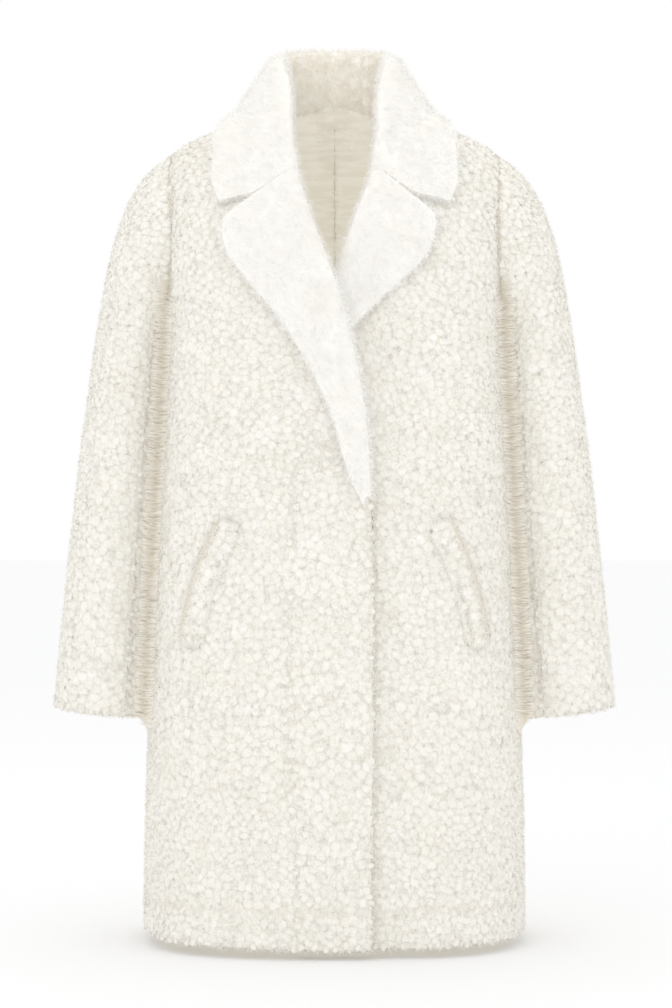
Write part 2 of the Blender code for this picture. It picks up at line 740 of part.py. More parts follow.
# ---------------------------------------------------------------- pocket welts
def welt(name, side, surface):
    """A slanting strip on the front, sewn down along its front edge and free along the other."""
    line = unit(np.subtract(WELT_END, WELT_TOP))
    square = np.array((line[1], -line[0]))  # towards the centre of the front
    outer, inner = [], []
    for t in np.linspace(0, 1, WELT_STEPS + 1):
        bow = WELT_BOW * 4 * t * (1 - t)
        free = np.asarray(WELT_TOP) + (np.subtract(WELT_END, WELT_TOP)) * t - square * bow
        upper, lower = [], []
        for share, rise in zip(WELT_ACROSS, WELT_RISE):
            place = free + square * WELT_WIDTH * share
            lift = WELT_SEAM_THICKNESS + (WELT_THICKNESS - WELT_SEAM_THICKNESS) * rise
            upper.append(laid_point(surface, place, LAY_GAP + lift)[0])
            lower.append(laid_point(surface, place, LAY_GAP)[0])
        outer.append(upper)
        inner.append(lower)
    outer, inner = np.array(outer), np.array(inner)
    for grid in (outer, inner):
        grid[:, :, 0] *= side
    return wall_object(name, outer, inner, CREAM_PILE, 0.9)


# ---------------------------------------------------------------- the coat
def clear_scene():
    for old in list(bpy.data.objects):
        bpy.data.objects.remove(old, do_unlink=True)
    coat = bpy.data.collections.new(COAT)
    bpy.context.scene.collection.children.link(coat)


def main():
    clear_scene()
    tree = form_tree()
    over_roll = Roll(form, over_edge, OVER_BREAK, ROLL_STEPS_OVER)
    under_roll = Roll(under_surface, under_edge, UNDER_BREAK, ROLL_STEPS_UNDER)
    front_panel("front_right", RIGHT, over_roll)
    front_panel("front_left", LEFT, under_roll)
    back_panel("back_right", RIGHT)
    back_panel("back_left", LEFT)
    sleeve_pieces(RIGHT, "right", tree)
    sleeve_pieces(LEFT, "left", tree)
    collar(tree)
    lapel("lapel_right", RIGHT, over_roll, over_lapel_wall, OVER_LAPEL)
    lapel("lapel_left", LEFT, under_roll, under_lapel_wall, UNDER_LAPEL)
    welt("pocket_welt_right", RIGHT, form)
    welt("pocket_welt_left", LEFT, form)


main()
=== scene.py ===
"""The looks of a faux fur coat: curly pile on a knitted backing, in a plain pale studio.

Each piece of cloth is a thin backing shell with layers of pile on it: tufts, which are low
overlapping domes, fuzz, the single hairs that stand out of them, and fringe, the longer hairs that
reach into a gap or over a seam. The trim, which is the collar and lapels, is combed out and has no
tufts. The backs also have a short nap over their seam on the inside. All of it follows the form of
the pieces' solids. All sizes are in metres.
"""

import math
from collections import namedtuple

import bpy
import numpy as np
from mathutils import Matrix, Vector
from mathutils.bvhtree import BVHTree
from mathutils.kdtree import KDTree


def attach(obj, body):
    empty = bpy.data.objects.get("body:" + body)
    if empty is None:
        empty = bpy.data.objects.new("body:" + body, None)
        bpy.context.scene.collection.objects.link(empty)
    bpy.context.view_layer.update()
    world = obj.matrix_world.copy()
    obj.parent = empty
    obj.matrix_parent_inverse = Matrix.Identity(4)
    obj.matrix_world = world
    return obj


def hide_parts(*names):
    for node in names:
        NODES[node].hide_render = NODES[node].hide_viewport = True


bl_info = {
    "name": "Faux fur coat",
    "version": (1, 0, 0),
    "blender": (4, 5, 0),
    "location": "View3D > Sidebar > Coat",
    "description": "Builds the pile, backing and studio of a faux fur coat",
    "category": "Object",
}

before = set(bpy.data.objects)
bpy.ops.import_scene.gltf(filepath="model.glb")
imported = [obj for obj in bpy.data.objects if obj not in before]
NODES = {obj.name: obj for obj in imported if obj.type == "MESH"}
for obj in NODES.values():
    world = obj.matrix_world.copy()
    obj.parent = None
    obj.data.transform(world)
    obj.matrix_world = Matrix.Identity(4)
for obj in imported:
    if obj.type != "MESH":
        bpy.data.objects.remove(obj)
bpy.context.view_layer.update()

SEED = 20
PLAN = {}  # cloths and tufts' places of the whole coat, made when the first piece is dressed

# ---- the coat's cut
# Flat width, length and area of each piece of cloth, as cut.
Cut = namedtuple("Cut", "width length area")
CUTS = {
    "collar": Cut(0.480, 0.178, 0.083),
    "lapel_left": Cut(0.107, 0.211, 0.016),
    "lapel_right": Cut(0.116, 0.367, 0.027),
}
for side in ("left", "right"):
    CUTS[f"front_{side}"] = Cut(0.335, 0.950, 0.250)
    CUTS[f"back_{side}"] = Cut(0.290, 0.955, 0.236)
    CUTS[f"sleeve_{side}_upper"] = Cut(0.242, 0.640, 0.128)
    CUTS[f"sleeve_{side}_under"] = Cut(0.125, 0.475, 0.051)
    CUTS[f"pocket_welt_{side}"] = Cut(0.024, 0.130, 0.0031)
BODY = ("front_right", "front_left", "back_right", "back_left")
SLEEVES = ("sleeve_right_upper", "sleeve_right_under", "sleeve_left_upper", "sleeve_left_under")
TRIM = ("collar", "lapel_right", "lapel_left")
WELTS = ("pocket_welt_right", "pocket_welt_left")

# ---- walls
# Middles of the hollow tubes, for telling a wall's inside from its outside
CHEST_HEIGHT = -0.16
SLEEVE_TOP = (0.205, 0.0, -0.15)
SLEEVE_CUFF = (0.255, -0.016, -0.66)
INSIDE_LEAN = -0.35  # a face that looks this far towards the tube's middle is inside

WALL_MOST = 0.03  # no wall is as thick as this
RAY_SINK = 2e-4  # a ray through a wall starts this far in
RAY_LIFT = 6e-4  # and one away from the cloth this far off
THIN_SHARE = 0.34  # the pile takes up at most this share of a wall
DECIMALS = 6  # points that are the same to this many decimals are one
SMOOTH_ANGLE = math.radians(50)
CURVE_SHARE = 0.7  # how far points between a face's corners move onto the smooth form
SHELL_PARTS = {"body": 3, "other": 2}  # how many parts a face's edges are cut into
PIN_LIMIT = 0.9  # points whose faces bend more than this stay where they are
EASE_ROUNDS = 3
EASE_STEP = 0.6  # of the way to the middle of their neighbours, in each round
SHELL_DEPTH = 0.7  # what the shell's pile side has for a depth and a tint; its depth gives it painted shade, part of the way to the deep colour
SHELL_TINT = 0.5

# ---- where pile grows
# Heights that tufts change between, and their widths over their heights above and below them
Rows = namedtuple("Rows", "high low above below")
ROWS = Rows(high=-0.25, low=-0.75, above=1.32, below=1.05)
CANDIDATES = 9  # places tried for each that the spacing leaves
SPACINGS = (0.78, 1.25)  # least and most room of a tuft, as shares of the spacing
SAME_SIDE = 0.2  # tufts that face further apart than this don't take each other's room
LEAST_DEPTH = 1e-4  # of the pile, at its rims
LEAST_SINK = 2e-4  # the welts' rims, where their pile has no depth, have hairs and no tufts
COVER_TUFT = {"trim": 0.009, "other": 0.0045}  # no tuft grows where a piece lies nearer than this
COVER_HAIR = {"trim": 0.007, "other": 0.002}  # and no hair where one lies nearer than this
HEM_STITCH = -0.863  # height of the stitches that press the pile in above the hem; there it also gets painted shade
STITCH_REACH = 0.0035
SLIT_REACH = 0.0045  # how far from a pocket's slit the pile is pressed in and gets painted shade

# ---- where hairs bridge a gap
PER_CM2 = 1e4  # makes a density on a square centimetre one on a square metre
GAP_REACH = 0.021  # where body and sleeves come this near each other, hairs reach across
GAP_LEAST = 0.002  # but not where they come nearer than this
GAP_LEAN = -0.3  # nor where a hair's way leads this far back through its cloth
GAP_HAIRS = 40.0
GAP_TIP_SHADE = 0.25  # painted shade: how light the tips of hairs in a gap are beside their roots
WELT_SEAM = 0.004  # hairs this near a welt's edge lie over it
WELT_HAIR = 0.009
WELT_HAIRS = 320.0
WELT_DIP = 0.12  # how far their tips sink, as a share of their length
SLIT_HAIR = 0.5  # and how far they reach over the slit, as a share of the seams' hairs
NAP_REACH = 0.0045  # inside, nap this near the back's seam lies over it
NAP_WIDE = 0.02  # and at the neck, above the next height, this near
NAP_WIDE_FROM = -0.06
NAP_HAIRS = 150.0
NAP_LIFT = 0.0004


# ---- reading the solids
Cloth = namedtuple("Cloth", "name points triangles corner_normals areas inside sink")


def unit(vectors):
    """The vectors at a length of 1; those without a length stay so."""
    length = np.linalg.norm(vectors, axis=-1, keepdims=True)
    return vectors / np.maximum(length, 1e-12)


def face_normals(points, triangles):
    """A normal for each triangle, as long as twice its area."""
    a, b, c = (points[triangles[:, corner]] for corner in range(3))
    return np.cross(b - a, c - a)


def tube_middle(name, points):
    """The middle of the hollow tube that a piece wraps, beside each point."""
    middle = np.zeros_like(points)
    if name.startswith("sleeve"):
        top, cuff = np.array(SLEEVE_TOP), np.array(SLEEVE_CUFF)
        t = np.clip((points[:, 2] - top[2]) / (cuff[2] - top[2]), 0, 1)[:, None]
        middle = top + (cuff - top) * t
        if "right" in name:
            middle[:, 0] *= -1
        middle[:, 2] = np.minimum(points[:, 2], top[2])
    else:
        middle[:, 2] = np.minimum(points[:, 2], CHEST_HEIGHT)
    return middle


def read_triangles(name):
    """Merged points and triangles of a node's mesh."""
    mesh = NODES[name].data
    co = np.empty(len(mesh.vertices) * 3)
    mesh.vertices.foreach_get("co", co)
    mesh.calc_loop_triangles()
    corners = np.empty(len(mesh.loop_triangles) * 3, int)
    mesh.loop_triangles.foreach_get("vertices", corners)
    points, index = np.unique(co.reshape(-1, 3).round(DECIMALS), axis=0, return_inverse=True)
    triangles = index.reshape(-1)[corners].reshape(-1, 3)
    distinct = (triangles != np.roll(triangles, 1, axis=1)).all(axis=1)
    return points, triangles[distinct]


def corner_normals_of(points, triangles, normals, areas):
    """A normal for each triangle's corner, smooth except over sharp edges."""
    around = [[] for _ in points]
    for face, triangle in enumerate(triangles):
        for vertex in triangle:
            around[vertex].append(face)
    limit = math.cos(SMOOTH_ANGLE)
    corner_normals = np.empty((len(triangles), 3, 3))
    for vertex, faces in enumerate(around):
        near = normals[faces] @ normals[faces].T > limit
        summed = unit(near @ (normals[faces] * areas[faces][:, None]))
        for face, normal in zip(faces, summed):
            corner_normals[face, list(triangles[face]).index(vertex)] = normal
    return corner_normals


def pile_depths(points, triangles, centres, normals, depth):
    """How deep the pile is at each vertex, less where the wall is thin."""
    tree = BVHTree.FromPolygons(points.tolist(), triangles.tolist())
    sink = np.full(len(points), depth)
    for centre, normal, triangle in zip(centres, normals, triangles):
        start = Vector(centre - normal * RAY_SINK)
        thickness = tree.ray_cast(start, Vector(-normal), WALL_MOST)[3]
        if thickness is not None:
            sink[triangle] = np.minimum(sink[triangle], thickness * THIN_SHARE)
    return sink


def read_cloth(name, depth):
    """The piece's solid, with how far the pile stands over the backing at each vertex."""
    points, triangles = read_triangles(name)
    centres = points[triangles].sum(axis=1) / 3
    normals = face_normals(points, triangles)
    areas = np.linalg.norm(normals, axis=1) / 2
    normals = unit(normals)
    out = unit(centres - tube_middle(name, centres))
    walled = name not in TRIM + WELTS
    inside = walled & (np.einsum("ij,ij->i", normals, out) < INSIDE_LEAN)
    corner_normals = corner_normals_of(points, triangles, normals, areas)
    sink = pile_depths(points, triangles, centres, normals, depth)
    sink[np.unique(triangles[inside])] = 0.0
    return Cloth(name, points, triangles, corner_normals, areas, inside, sink)


def solids_tree(names):
    """One search tree of the solids of several nodes."""
    points, triangles, start = [], [], 0
    for name in names:
        node_points, node_triangles = read_triangles(name)
        points.append(node_points)
        triangles.append(node_triangles + start)
        start += len(node_points)
    return BVHTree.FromPolygons(np.vstack(points).tolist(), np.vstack(triangles).tolist())


# ---- places on the cloth
Places = namedtuple("Places", "points normals sink")


def on_form(shares, corners, normals):
    """Points at shares of triangles' corners, first on the flat, then near the smooth form."""
    flat = np.einsum("...j,...jk->...k", shares, corners)
    away = np.einsum("...jk,...jk->...j", flat[..., None, :] - corners, normals)
    onto = flat[..., None, :] - away[..., None] * normals
    curved = np.einsum("...j,...jk->...k", shares, onto)
    return flat, flat + CURVE_SHARE * (curved - flat)


def scatter(cloth, density, random, chosen):
    """Random places on the chosen faces of a piece, on the smooth surface that they stand for."""
    weights = np.where(chosen, cloth.areas, 0.0)
    count = int(weights.sum() * density)
    faces = random.choice(len(weights), count, p=weights / weights.sum())
    u, v = random.random(count), random.random(count)
    over = u + v > 1
    u[over], v[over] = 1 - u[over], 1 - v[over]
    shares = np.stack([1 - u - v, u, v], axis=1)
    normals = cloth.corner_normals[faces]
    _, points = on_form(shares, cloth.points[cloth.triangles[faces]], normals)
    sink = np.einsum("ij,ij->i", shares, cloth.sink[cloth.triangles[faces]])
    normal = unit(np.einsum("ij,ijk->ik", shares, normals))
    return Places(points, normal, np.maximum(sink, LEAST_DEPTH))


def clearance(points, normals, tree, reach):
    """How far it is from each point to the next piece, or reach where it is further."""
    starts = points + normals * RAY_LIFT
    found = (tree.ray_cast(Vector(p), Vector(n), reach)[3] for p, n in zip(starts, normals))
    return np.array([reach if distance is None else distance for distance in found])


def pick(places, keep):
    """Those of the places."""
    return Places(*(values[keep] for values in places))


def row_stretch(heights):
    """How much wider than tall the tufts are: they lie in level rows above and stand below."""
    t = np.clip((heights - ROWS.low) / (ROWS.high - ROWS.low), 0, 1)
    return ROWS.below + (ROWS.above - ROWS.below) * t


def thin_out(places, spacing, random, taken):
    """Indices of places that keep the spacing, also from those of earlier pieces in taken."""
    least, most = SPACINGS
    kept = []
    wide = row_stretch(places.points[:, 2])[:, None]
    scaled = places.points * np.hstack([1 / wide, 1 / wide, wide])
    cells = np.floor(scaled / (spacing * most)).astype(int)
    squares = (spacing * random.uniform(least, most, len(scaled))) ** 2
    steps = [(i, j, k) for i in (-1, 0, 1) for j in (-1, 0, 1) for k in (-1, 0, 1)]
    points, normals, squares = scaled.tolist(), places.normals.tolist(), squares.tolist()
    for index, cell in enumerate(cells.tolist()):
        x, y, z = points[index]
        nx, ny, nz = normals[index]
        crowded = any(
            (x - ox) ** 2 + (y - oy) ** 2 + (z - oz) ** 2 < squares[index]
            and nx * ax + ny * ay + nz * az > SAME_SIDE
            for i, j, k in steps
            for ox, oy, oz, ax, ay, az in taken.get((cell[0] + i, cell[1] + j, cell[2] + k), ())
        )
        if not crowded:
            taken.setdefault(tuple(cell), []).append((x, y, z, nx, ny, nz))
            kept.append(index)
    return np.array(kept, int)


def comb(points, normals, sideways):
    """The way the pile lies, down and on the trim also outwards, and the way across it."""
    way = np.zeros_like(points)
    way[:, 2] = -1.0
    way[:, 0] = np.sign(points[:, 0]) * sideways
    way += 1e-3 * normals[:, ::-1]  # so that level cloth has a way too
    way -= np.einsum("ij,ij->i", way, normals)[:, None] * normals
    way = unit(way)
    return way, np.cross(normals, way)


# ---- meshes
def mesh_object(name, points, triangles, material):
    """A smooth-shaded mesh of one material, in the scene."""
    mesh = bpy.data.meshes.new(name)
    mesh.vertices.add(len(points))
    mesh.vertices.foreach_set("co", np.asarray(points, np.float32).ravel())
    mesh.loops.add(len(triangles) * 3)
    mesh.loops.foreach_set("vertex_index", np.asarray(triangles, np.int32).ravel())
    mesh.polygons.add(len(triangles))
    mesh.polygons.foreach_set("loop_start", np.arange(0, len(triangles) * 3, 3, dtype=np.int32))
    mesh.update(calc_edges=True)
    mesh.shade_smooth()
    mesh.materials.append(material)
    piece = bpy.data.objects.new(name, mesh)
    bpy.context.scene.collection.objects.link(piece)
    return piece


def set_attribute(piece, name, values):
    """Gives each of a piece's points a value that its material reads."""
    attribute = piece.data.attributes.new(name, "FLOAT", "POINT")
    attribute.data.foreach_set("value", np.asarray(values, np.float32))


def lit_mesh(name, points, triangles, material, lit, depths, tints):
    """A mesh that is lit by other normals than its own, with a depth and tint at each point."""
    piece = mesh_object(name, points, triangles, material)
    piece.data.normals_split_custom_set_from_vertices(lit.tolist())
    set_attribute(piece, "depth", depths)
    set_attribute(piece, "tint", tints)
    return piece


# ---- tufts
# Rings of a tuft: how far out as a share of its reach, its height and depth as shares, and how
# far it is lit from its side. The depths paint shade, darkest on the outer ring, low between tufts.
TuftRing = namedtuple("TuftRing", "reach height depth tilt")
TUFT = (
    TuftRing(0.0, 1.0, 1.0, 0.0),
    TuftRing(0.78, 0.96, 0.95, 0.12),
    TuftRing(1.36, 0.10, 0.0, 0.50),
)
TUFT_SIDES = 6
TUFT_ANGLES = np.arange(TUFT_SIDES) * 2 * math.pi / TUFT_SIDES
LEAST_EDGE = 0.3  # of the radius
UNEVEN = 0.12  # how much a tuft's edge goes in and out
OFF_FORM = 0.0013  # a tuft's edge comes no further off the form than this
BACK_SIDE = -0.2  # neighbours that face further away than this don't limit a tuft
STAND_SHARES = (0.65, 1.3)  # of how far the pile stands out
LEAN_SHARES = (-0.2, 1.0)  # and of how far it leans
TURNED = 0.2  # how differently tufts are lit from each other
PRESSED_SHADE = 0.5  # painted shade: how much lower a tuft's depths are where it's pressed in


def tuft_edges(points, normals, fall, across, start, radius):
    """How far each tuft goes each way: half-way to its neighbours, or the whole radius."""
    edges = np.full((len(points), TUFT_SIDES), radius)
    for index, point in enumerate(points):
        near = [n for n in PLAN["tree"].find_range(Vector(point), 2 * radius) if n[2] > 1e-6]
        angles = TUFT_ANGLES + start[index]
        if near:
            offsets = np.array([co for co, _, _ in near]) - point
            facing = PLAN["normals"][[n for _, n, _ in near]] @ normals[index] > BACK_SIDE
            along = offsets[facing] @ fall[index]
            aside = offsets[facing] @ across[index]
            towards = np.outer(np.cos(angles), along) + np.outer(np.sin(angles), aside)
            meets = (along**2 + aside**2) / 2 / np.maximum(towards, 1e-5)
            edges[index] = np.minimum(radius, meets.min(axis=1, initial=radius))
        form_off = PLAN["solids"].find_nearest(Vector(point))[3]
        for side, angle in enumerate(angles):
            way = fall[index] * math.cos(angle) + across[index] * math.sin(angle)
            end = Vector(point + way * edges[index, side])
            off = PLAN["solids"].find_nearest(end)[3] - form_off
            edges[index, side] *= min(1.0, OFF_FORM / max(off, 1e-6))
    return np.maximum(edges, LEAST_EDGE * radius)


def tuft_triangles(count):
    """Corners of the triangles of that many tufts, each a fan with rings of faces round it."""
    pattern = [(0, 1 + side, 1 + (side + 1) % TUFT_SIDES) for side in range(TUFT_SIDES)]
    for ring in range(1, len(TUFT) - 1):
        inner, outer = 1 + (ring - 1) * TUFT_SIDES, 1 + ring * TUFT_SIDES
        for side in range(TUFT_SIDES):
            after = (side + 1) % TUFT_SIDES
            pattern.append((inner + side, outer + side, outer + after))
            pattern.append((inner + side, outer + after, inner + after))
    per_tuft = 1 + (len(TUFT) - 1) * TUFT_SIDES
    triangles = np.array(pattern)[None] + (np.arange(count) * per_tuft)[:, None, None]
    return triangles.reshape(-1, 3)


def slit_closeness(points):
    """How close points are to a pocket's slit, from 0 to 1 on it: its pile is pressed in and gets
    painted shade.
    """
    nearest = np.full(len(points), 1.0)
    for top, bottom in PLAN["slits"]:
        way = bottom - top
        share = np.clip((points - top) @ way / (way @ way), 0, 1)
        nearest = np.minimum(nearest, np.linalg.norm(points - top - share[:, None] * way, axis=1))
    return np.exp(-((nearest / SLIT_REACH) ** 2))


def tufts(name, places, pile, material, random):
    """One mesh of low domes, one for each place, that fill the cloth with thin cracks between."""
    count = len(places.points)
    normal = places.normals
    fall, across = comb(places.points, normal, pile.sideways)
    start = random.uniform(0, 2 * math.pi, count)
    edges = tuft_edges(places.points, normal, fall, across, start, pile.radius)
    edges *= random.uniform(1 - UNEVEN, 1 + UNEVEN, edges.shape)
    stitched = np.exp(-(((places.points[:, 2] - HEM_STITCH) / STITCH_REACH) ** 2))
    # pressed in by the hem's stitches and at a slit: lower, and with painted shade
    pressed = np.maximum(stitched, slit_closeness(places.points))
    height = places.sink + pile.stand_out * random.uniform(*STAND_SHARES, count) * (1 - pressed)
    tilt = pile.lean * pile.stand_out * random.uniform(*LEAN_SHARES, count)
    base = places.points - normal * places.sink[:, None]
    turned = random.normal(0, 1, (count, 1)) * fall + random.normal(0, 1, (count, 1)) * across
    points, depths, lit = [], [], []
    for ring in TUFT:
        for side in range(1 if ring.reach == 0 else TUFT_SIDES):
            angle = start + TUFT_ANGLES[side]
            reach = (edges[:, side] * ring.reach)[:, None]
            uneven = ring.height * random.uniform(1 - UNEVEN, 1, count)
            up = height * uneven + tilt * np.cos(angle) * ring.reach * ring.height
            way = fall * np.cos(angle)[:, None] + across * np.sin(angle)[:, None]
            points.append(base + way * reach + normal * up[:, None])
            # the depths paint shade: dark low between tufts, and darker where the pile is pressed in
            depths.append(ring.depth * (1 - PRESSED_SHADE * pressed))
            lit.append(unit(normal + pile.unrest * (turned * TURNED + way * ring.tilt)))
    tints = np.repeat(random.random(count), len(points))
    points, lit = (np.stack(values, axis=1).reshape(-1, 3) for values in (points, lit))
    depths = np.stack(depths, axis=1).reshape(-1)
    return lit_mesh(name, points, tuft_triangles(count), material, lit, depths, tints)


# ---- hairs
HAIR_TURN = 1.2  # how far hairs turn from the way the pile lies, in radians
WIDTH_SHARES = (0.6, 1.4)  # least and most width of a hair, as shares of the usual one
LENGTH_SHARES = (0.5, 1.3)
RISES = (0.05, 0.75)  # how steeply hairs stand
STRAYS = (0.0, 0.5)  # how far hairs with a way stray from it
WAY_SHARES = (0.5, 1.0)  # and how much of it they reach
FRONT_TILT = 0.3  # how much of its cloth's own facing a hair with a way keeps
LIT_TURN = 0.6  # how differently hairs are lit from each other
ROOT_LIFT = 0.4  # of how far the pile stands out
SHADES = (0.65, 1.0)  # depths of hairs' tips
ROOT_SHADE = 0.85  # painted shade low in the pile: depths of their roots, as a share of their tips'
SLIT_SHADE = 0.75  # painted shade: how much lower hairs' depths are on a pocket's slit
NECK_SHADE = 0.32  # painted shade: what is left of hairs' depths in the neck
NECK_HALF = 0.06  # how far out from the middle the collar's inside shows in the neck
NECK_FACING = -0.3  # and how far it faces to the front at least


def in_neck(places):
    """Whether a place is inside the collar's stand, where painted shade makes the pile darker and
    warmer.
    """
    across, deep, _ = places.points.T
    return (np.abs(across) < NECK_HALF) & (deep > 0) & (places.normals[:, 1] < NECK_FACING)


def fuzz(name, places, pile, material, random, ways=None, tip_light=1.0):
    """One mesh of single hairs, each a sliver that is lit as the cloth under it is.

    With ways, each reaches most of its way, out into a gap or over a seam, and faces the light.
    Its tip has that share of its root's light, and so does a hair in the narrowest of the gap:
    painted shade deep in the gap.
    """
    count = len(places.points)
    normal = places.normals
    fall, across = comb(places.points, normal, pile.sideways)
    turn = random.normal(0, HAIR_TURN, count)
    flat = fall * np.cos(turn)[:, None] + across * np.sin(turn)[:, None]
    width = pile.hair_width * random.uniform(*WIDTH_SHARES, count)
    shade = random.uniform(*SHADES, count)
    # painted shade inside the neck and along a pocket's slit
    shade[in_neck(places)] *= NECK_SHADE
    shade *= 1 - SLIT_SHADE * slit_closeness(places.points)
    if ways is None:
        facing = normal
        way = unit(flat + normal * random.uniform(*RISES, count)[:, None])
        length = pile.hair_length * random.uniform(*LENGTH_SHARES, count)
    else:
        front = np.sign(places.points[:, 1])[:, None] * np.array([0.0, 1.0, 0.0])
        facing = unit(front + FRONT_TILT * normal)
        way = unit(unit(ways) + flat * random.uniform(*STRAYS, count)[:, None])
        reach = np.linalg.norm(ways, axis=1)
        length = reach * random.uniform(*WAY_SHARES, count)
        # painted shade: the shorter a hair's way, the deeper in the gap it lies and the darker it is
        shade *= tip_light + (1 - tip_light) * reach / reach.max()
    root = places.points + normal * (pile.stand_out * ROOT_LIFT)
    side = unit(np.cross(way, facing)) * width[:, None] / 2
    tip = root + way * length[:, None]
    points = np.stack([root - side, root + side, tip], axis=1).reshape(-1, 3)
    lit = unit(facing + flat * random.uniform(-LIT_TURN, LIT_TURN, count)[:, None])
    lit = np.repeat(lit, 3, axis=0)
    # painted shade at the roots, and at the tips of hairs in a gap
    depths = np.stack([shade * ROOT_SHADE, shade * ROOT_SHADE, shade * tip_light], axis=1)
    tints = np.repeat(random.random(count), 3)
    triangles = np.arange(count * 3).reshape(-1, 3)
    return lit_mesh(name, points, triangles, material, lit, depths.reshape(-1), tints)


# ---- the backing shell
def refined(cloth, parts):
    """The cloth's triangles, each cut into parts squared, curved to the smooth form."""
    steps = [(i, j) for i in range(parts + 1) for j in range(parts + 1 - i)]
    shares = np.array([(parts - i - j, i, j) for i, j in steps]) / parts
    corners = cloth.points[cloth.triangles][:, None]
    flat, points = on_form(shares, corners, cloth.corner_normals[:, None])
    sink = np.einsum("sk,tk->ts", shares, cloth.sink[cloth.triangles])
    order = {step: index for index, step in enumerate(steps)}
    pattern = []
    for i, j in steps:
        if i + j < parts:
            pattern.append((order[i, j], order[i + 1, j], order[i, j + 1]))
            if i + j < parts - 1:
                pattern.append((order[i + 1, j], order[i + 1, j + 1], order[i, j + 1]))
    firsts = np.arange(len(cloth.triangles)) * len(steps)
    triangles = (np.array(pattern)[None] + firsts[:, None, None]).reshape(-1, 3)
    inside = np.repeat(cloth.inside, len(pattern))
    _, first, index, shared = np.unique(
        flat.reshape(-1, 3).round(DECIMALS),
        axis=0, return_index=True, return_inverse=True, return_counts=True,
    )
    index = index.reshape(-1)
    merged = np.zeros((len(first), 3))
    np.add.at(merged, index, points.reshape(-1, 3))
    return merged / shared[:, None], index[triangles], inside, sink.reshape(-1)[first]


def summed_at_points(values, triangles, count):
    """For each point, the sum of its triangles' values."""
    summed = np.zeros((count, 3))
    for corner in range(3):
        np.add.at(summed, triangles[:, corner], values)
    return summed


def eased(points, triangles):
    """The points drawn to the middle of their neighbours, save those on sharp edges."""
    edges = np.vstack([triangles[:, [0, 1]], triangles[:, [1, 2]], triangles[:, [2, 0]]])
    normals = unit(face_normals(points, triangles))
    summed = unit(summed_at_points(normals, triangles, len(points)))
    loose = np.ones(len(points), bool)
    for corner in range(3):
        vertex = triangles[:, corner]
        bent = np.einsum("ij,ij->i", summed[vertex], normals) < PIN_LIMIT
        loose[vertex[bent]] = False
    count = np.zeros(len(points))
    np.add.at(count, edges[:, 0], 1)
    for _ in range(EASE_ROUNDS):
        middle = np.zeros_like(points)
        np.add.at(middle, edges[:, 0], points[edges[:, 1]])
        middle /= np.maximum(count, 1)[:, None]
        points = np.where(loose[:, None], points + EASE_STEP * (middle - points), points)
    return points


def shell(cloth, parts, backing, pile):
    """The backing, a copy of the solid's form with its pile side drawn in."""
    points, triangles, inside, sink = refined(cloth, parts)
    points = eased(points, triangles)
    summed = summed_at_points(face_normals(points, triangles), triangles, len(points))
    points = points - unit(summed) * sink[:, None]
    piece = mesh_object(f"{cloth.name}_backing", points, triangles, backing)
    piece.data.materials.append(pile)
    piece.data.polygons.foreach_set("material_index", np.where(inside, 0, 1).astype(np.int32))
    piece.data.set_sharp_from_angle(angle=SMOOTH_ANGLE)
    set_attribute(piece, "depth", np.full(len(points), SHELL_DEPTH))
    set_attribute(piece, "tint", np.full(len(points), SHELL_TINT))
    return piece


# ---- material nodes
Noise = namedtuple("Noise", "scale detail stretch", defaults=((1.0, 1.0, 1.0),))


def new_material(name, surface, light, glow):
    """A material of those values with a faint glow of its own, its node tree and its shader."""
    material = bpy.data.materials.new(name)
    material.use_nodes = True
    material.cycles.emission_sampling = "NONE"
    shader = material.node_tree.nodes["Principled BSDF"]
    for socket, value in surface.items():
        shader.inputs[socket].default_value = value
    shader.inputs["Emission Color"].default_value = light
    shader.inputs["Emission Strength"].default_value = glow
    return material, material.node_tree, shader


def node(tree, kind, sockets, output, **values):
    """The output of a new node of that kind, whose sockets get values or other outputs."""
    item = tree.nodes.new(kind)
    for key, value in values.items():
        setattr(item, key, value)
    for socket, value in sockets.items():
        if isinstance(value, bpy.types.NodeSocket):
            tree.links.new(value, item.inputs[socket])
        else:
            item.inputs[socket].default_value = value
    return item.outputs[output]


def object_noise(tree, noise):
    """A noise that is fixed to the piece."""
    place = node(tree, "ShaderNodeTexCoord", {}, "Object")
    place = node(tree, "ShaderNodeMapping", {"Vector": place, "Scale": noise.stretch}, "Vector")
    sockets = {"Vector": place, "Scale": noise.scale, "Detail": noise.detail}
    return node(tree, "ShaderNodeTexNoise", sockets, "Fac")


def attribute_value(tree, name):
    """The value that set_attribute gave the piece there."""
    return node(tree, "ShaderNodeAttribute", {}, "Fac", attribute_name=name)


def mixed(tree, factor, first, second):
    """A colour between two, each a colour or an output."""
    return node(tree, "ShaderNodeMix", {0: factor, 6: first, 7: second}, 2, data_type="RGBA")


def ranged(tree, value, ends):
    """How far a value is from the first of two ends to the second, from 0 to 1."""
    sockets = {"Value": value, "From Min": ends[0], "From Max": ends[1]}
    return node(tree, "ShaderNodeMapRange", sockets, "Result", interpolation_type="SMOOTHSTEP")


def joined(tree, operation, first, second):
    """Two values worked out into one, each a number or an output."""
    return node(tree, "ShaderNodeMath", {0: first, 1: second}, 0, operation=operation)


def bump(tree, shader, height, strength, distance):
    """Gives the shader a height as its fine relief."""
    sockets = {"Height": height, "Strength": strength, "Distance": distance}
    tree.links.new(node(tree, "ShaderNodeBump", sockets, "Normal"), shader.inputs["Normal"])


# ---- materials
MADE = {}  # the materials made here; those that come with the frame have some of the same names
HAIRS = "_hairs"  # ends the names of materials for hairs

